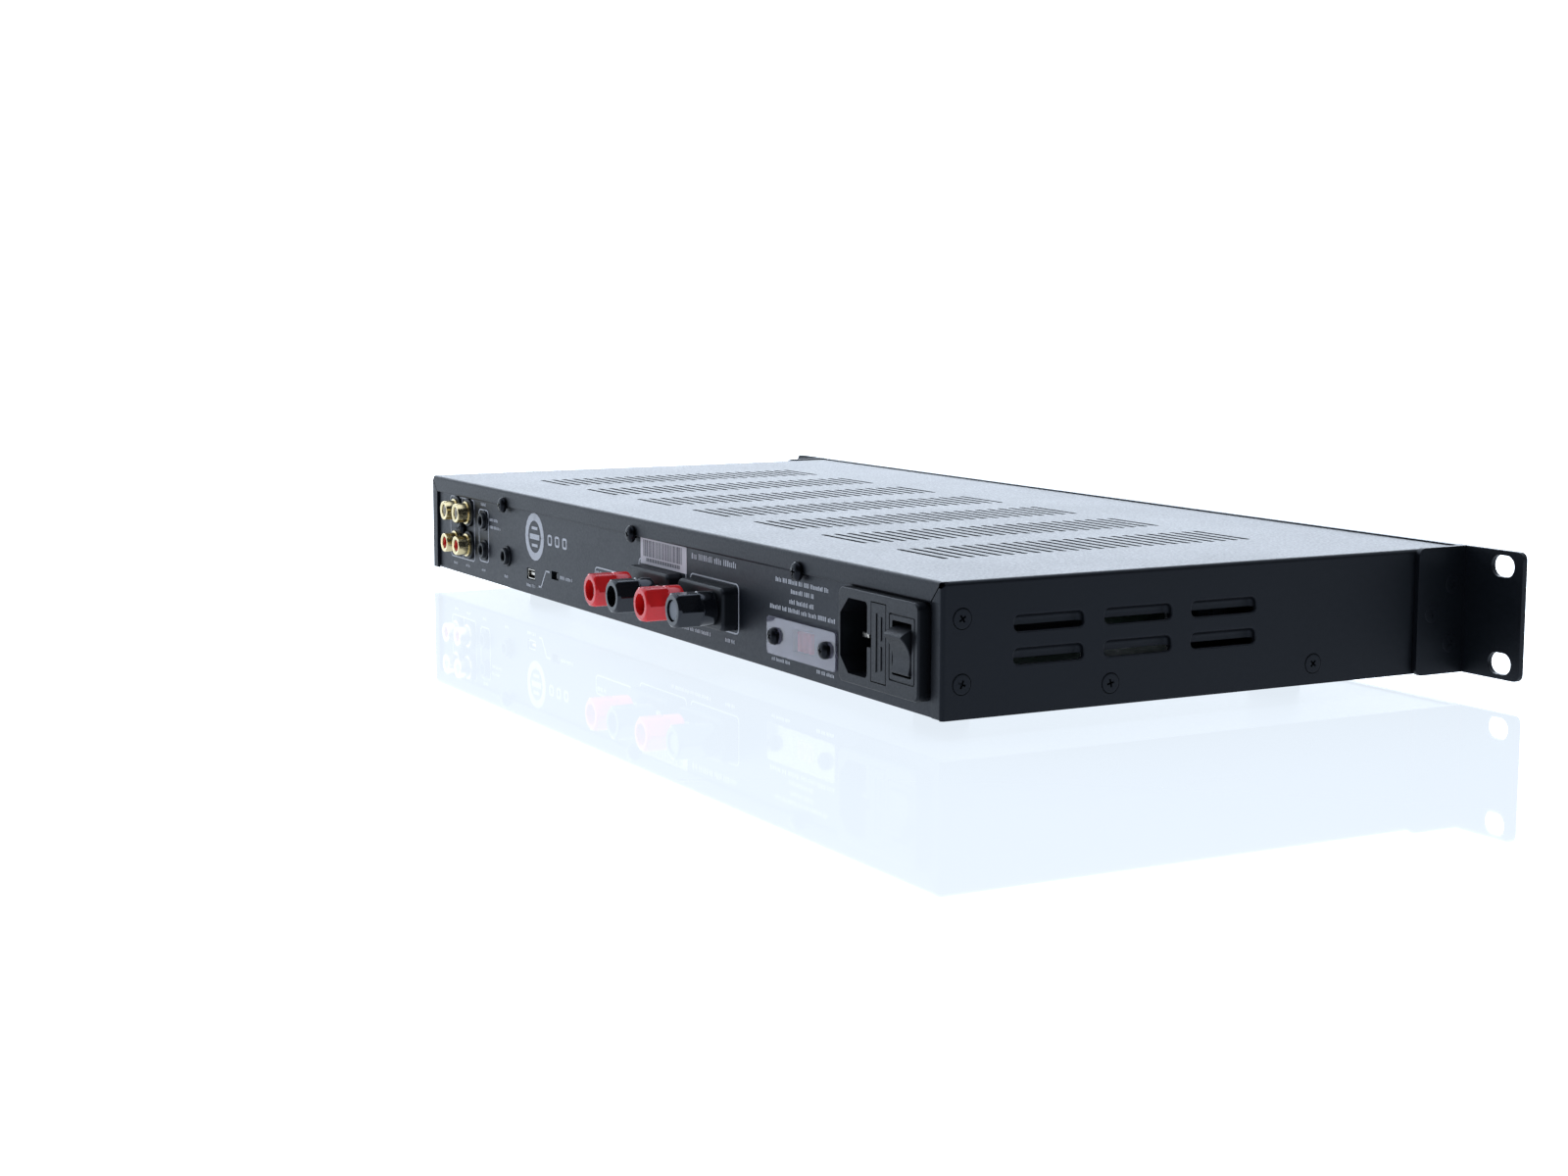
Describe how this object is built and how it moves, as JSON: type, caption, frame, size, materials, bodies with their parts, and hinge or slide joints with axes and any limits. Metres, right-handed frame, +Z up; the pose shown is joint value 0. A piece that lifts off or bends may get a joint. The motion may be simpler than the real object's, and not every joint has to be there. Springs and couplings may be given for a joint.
{
  "type": "power amplifier",
  "caption": "One-unit rack-mount power amplifier: vented black steel case on feet with rack ears, and a rear panel with mains inlet, binding posts, phono and control sockets.",
  "frame": {"origin": "on the surface under the feet, below the middle of the object's box", "axes": "+X across the front to the right as seen from the front, +Y from the front panel to the rear panel, +Z up"},
  "size_m": [0.4826, 0.2396, 0.0475],
  "materials": {
    "black_coat": "satin powder coat",
    "rear_coat": "satin powder coat",
    "panel_anodised": "black anodised",
    "rubber": "matt",
    "black_steel": "black oxide",
    "black_plastic": "moulded",
    "gold_plate": "polished plate",
    "nickel": "bright plate",
    "brass": "machined",
    "red_gloss": "polished moulding",
    "black_gloss": "polished moulding",
    "grey_plastic": "moulded",
    "fuse_glass": "clear",
    "red_plastic": "moulded",
    "clear_plastic": "translucent",
    "window_glass": "dark",
    "board": "lacquered laminate",
    "heatsink_metal": "extruded",
    "capacitor_sleeve": "shrunk sleeve",
    "ferrite": "fired"
  },
  "bodies": {
    "chassis": {"top_cover": "black_coat", "rack_ear_left": "black_coat", "rack_ear_right": "black_coat", "chassis_tray": "rear_coat", "front_panel": "panel_anodised", "foot_front_left": "rubber", "foot_front_right": "rubber", "foot_rear_left": "rubber", "foot_rear_right": "rubber", "cover_screw_1": "black_steel", "cover_screw_2": "black_steel", "cover_screw_3": "black_steel", "rca_housing": "black_plastic", "trigger_jack_upper": "black_plastic", "trigger_jack_lower": "black_plastic", "control_jack": "black_plastic", "update_switch_body": "black_plastic", "terminal_base_1": "black_plastic", "terminal_base_2": "black_plastic", "inlet_housing": "black_plastic", "selector_body": "black_plastic", "button_switch": "black_plastic", "rca_shell_1": "gold_plate", "rca_shell_2": "gold_plate", "rca_shell_3": "gold_plate", "rca_shell_4": "gold_plate", "usb_socket": "nickel", "terminal_post_1": "nickel", "terminal_post_2": "nickel", "terminal_post_3": "nickel", "terminal_post_4": "nickel", "inlet_pin_1": "nickel", "inlet_pin_2": "nickel", "inlet_pin_3": "nickel", "encoder": "nickel", "terminal_plug": "grey_plastic", "selector_cover": "clear_plastic", "display_window": "window_glass", "power_board": "board", "amplifier_board": "board", "input_board": "board", "display_board": "board", "heatsink": "heatsink_metal", "bulk_capacitor": "capacitor_sleeve", "transformer": "ferrite"},
    "rocker": {"power_rocker": "black_plastic"},
    "fuse_carrier": {"fuse_drawer": "black_plastic", "fuse": "fuse_glass"},
    "voltage_slider": {"selector_slider": "red_plastic"},
    "update_slider": {"update_switch_slider": "black_plastic"},
    "knob": {"menu_knob": "panel_anodised"},
    "button": {"power_button": "black_plastic"},
    "thread_1": {"terminal_insert_1": "brass"},
    "cap_1": {"terminal_cap_1": "red_gloss"},
    "thread_2": {"terminal_insert_2": "brass"},
    "cap_2": {"terminal_cap_2": "black_gloss"},
    "thread_3": {"terminal_insert_3": "brass"},
    "cap_3": {"terminal_cap_3": "red_gloss"},
    "thread_4": {"terminal_insert_4": "brass"},
    "cap_4": {"terminal_cap_4": "black_gloss"}
  },
  "joints": [
    {"name": "rocker_tilt", "type": "hinge", "parent": "chassis", "child": "rocker", "pos_m": [-0.1967, 0.0963, 0.0252], "axis": [1, 0, 0], "range_deg": [0, 28]},
    {"name": "fuse_carrier_slide", "type": "slide", "parent": "chassis", "child": "fuse_carrier", "axis": [0, 1, 0], "range_m": [0, 0.02]},
    {"name": "voltage_slide", "type": "slide", "parent": "chassis", "child": "voltage_slider", "axis": [1, 0, 0], "range_m": [0, 0.0026]},
    {"name": "update_slide", "type": "slide", "parent": "chassis", "child": "update_slider", "axis": [1, 0, 0], "range_m": [0, 0.003]},
    {"name": "terminal_1_travel", "type": "slide", "parent": "chassis", "child": "thread_1", "axis": [0, 1, 0], "range_m": [-0.003, 0.003]},
    {"name": "terminal_1_turn", "type": "hinge", "parent": "thread_1", "child": "cap_1", "pos_m": [-0.01208, 0.1109, 0.0227], "axis": [0, 1, 0], "range_deg": [-1080, 1080]},
    {"name": "terminal_2_travel", "type": "slide", "parent": "chassis", "child": "thread_2", "axis": [0, 1, 0], "range_m": [-0.003, 0.003]},
    {"name": "terminal_2_turn", "type": "hinge", "parent": "thread_2", "child": "cap_2", "pos_m": [-0.03112, 0.1109, 0.0227], "axis": [0, 1, 0], "range_deg": [-1080, 1080]},
    {"name": "terminal_3_travel", "type": "slide", "parent": "chassis", "child": "thread_3", "axis": [0, 1, 0], "range_m": [-0.003, 0.003]},
    {"name": "terminal_3_turn", "type": "hinge", "parent": "thread_3", "child": "cap_3", "pos_m": [-0.05507, 0.1109, 0.0227], "axis": [0, 1, 0], "range_deg": [-1080, 1080]},
    {"name": "terminal_4_travel", "type": "slide", "parent": "chassis", "child": "thread_4", "axis": [0, 1, 0], "range_m": [0, 0.003]},
    {"name": "terminal_4_turn", "type": "hinge", "parent": "thread_4", "child": "cap_4", "pos_m": [-0.07412, 0.1109, 0.0227], "axis": [0, 1, 0], "range_deg": [0, 1080]},
    {"name": "knob_turn", "type": "hinge", "parent": "chassis", "child": "knob", "pos_m": [0.15, -0.1128, 0.0265], "axis": [0, -1, 0], "continuous": true},
    {"name": "button_press", "type": "slide", "parent": "chassis", "child": "button", "axis": [0, 1, 0], "range_m": [0, 0.0012], "stiffness_N_per_m": 500}
  ],
  "couplings": [
    {"joint": "terminal_1_turn", "follows": "terminal_1_travel", "rad_per_m": 6283},
    {"joint": "terminal_2_turn", "follows": "terminal_2_travel", "rad_per_m": 6283},
    {"joint": "terminal_3_turn", "follows": "terminal_3_travel", "rad_per_m": 6283},
    {"joint": "terminal_4_turn", "follows": "terminal_4_travel", "rad_per_m": 6283}
  ]
}
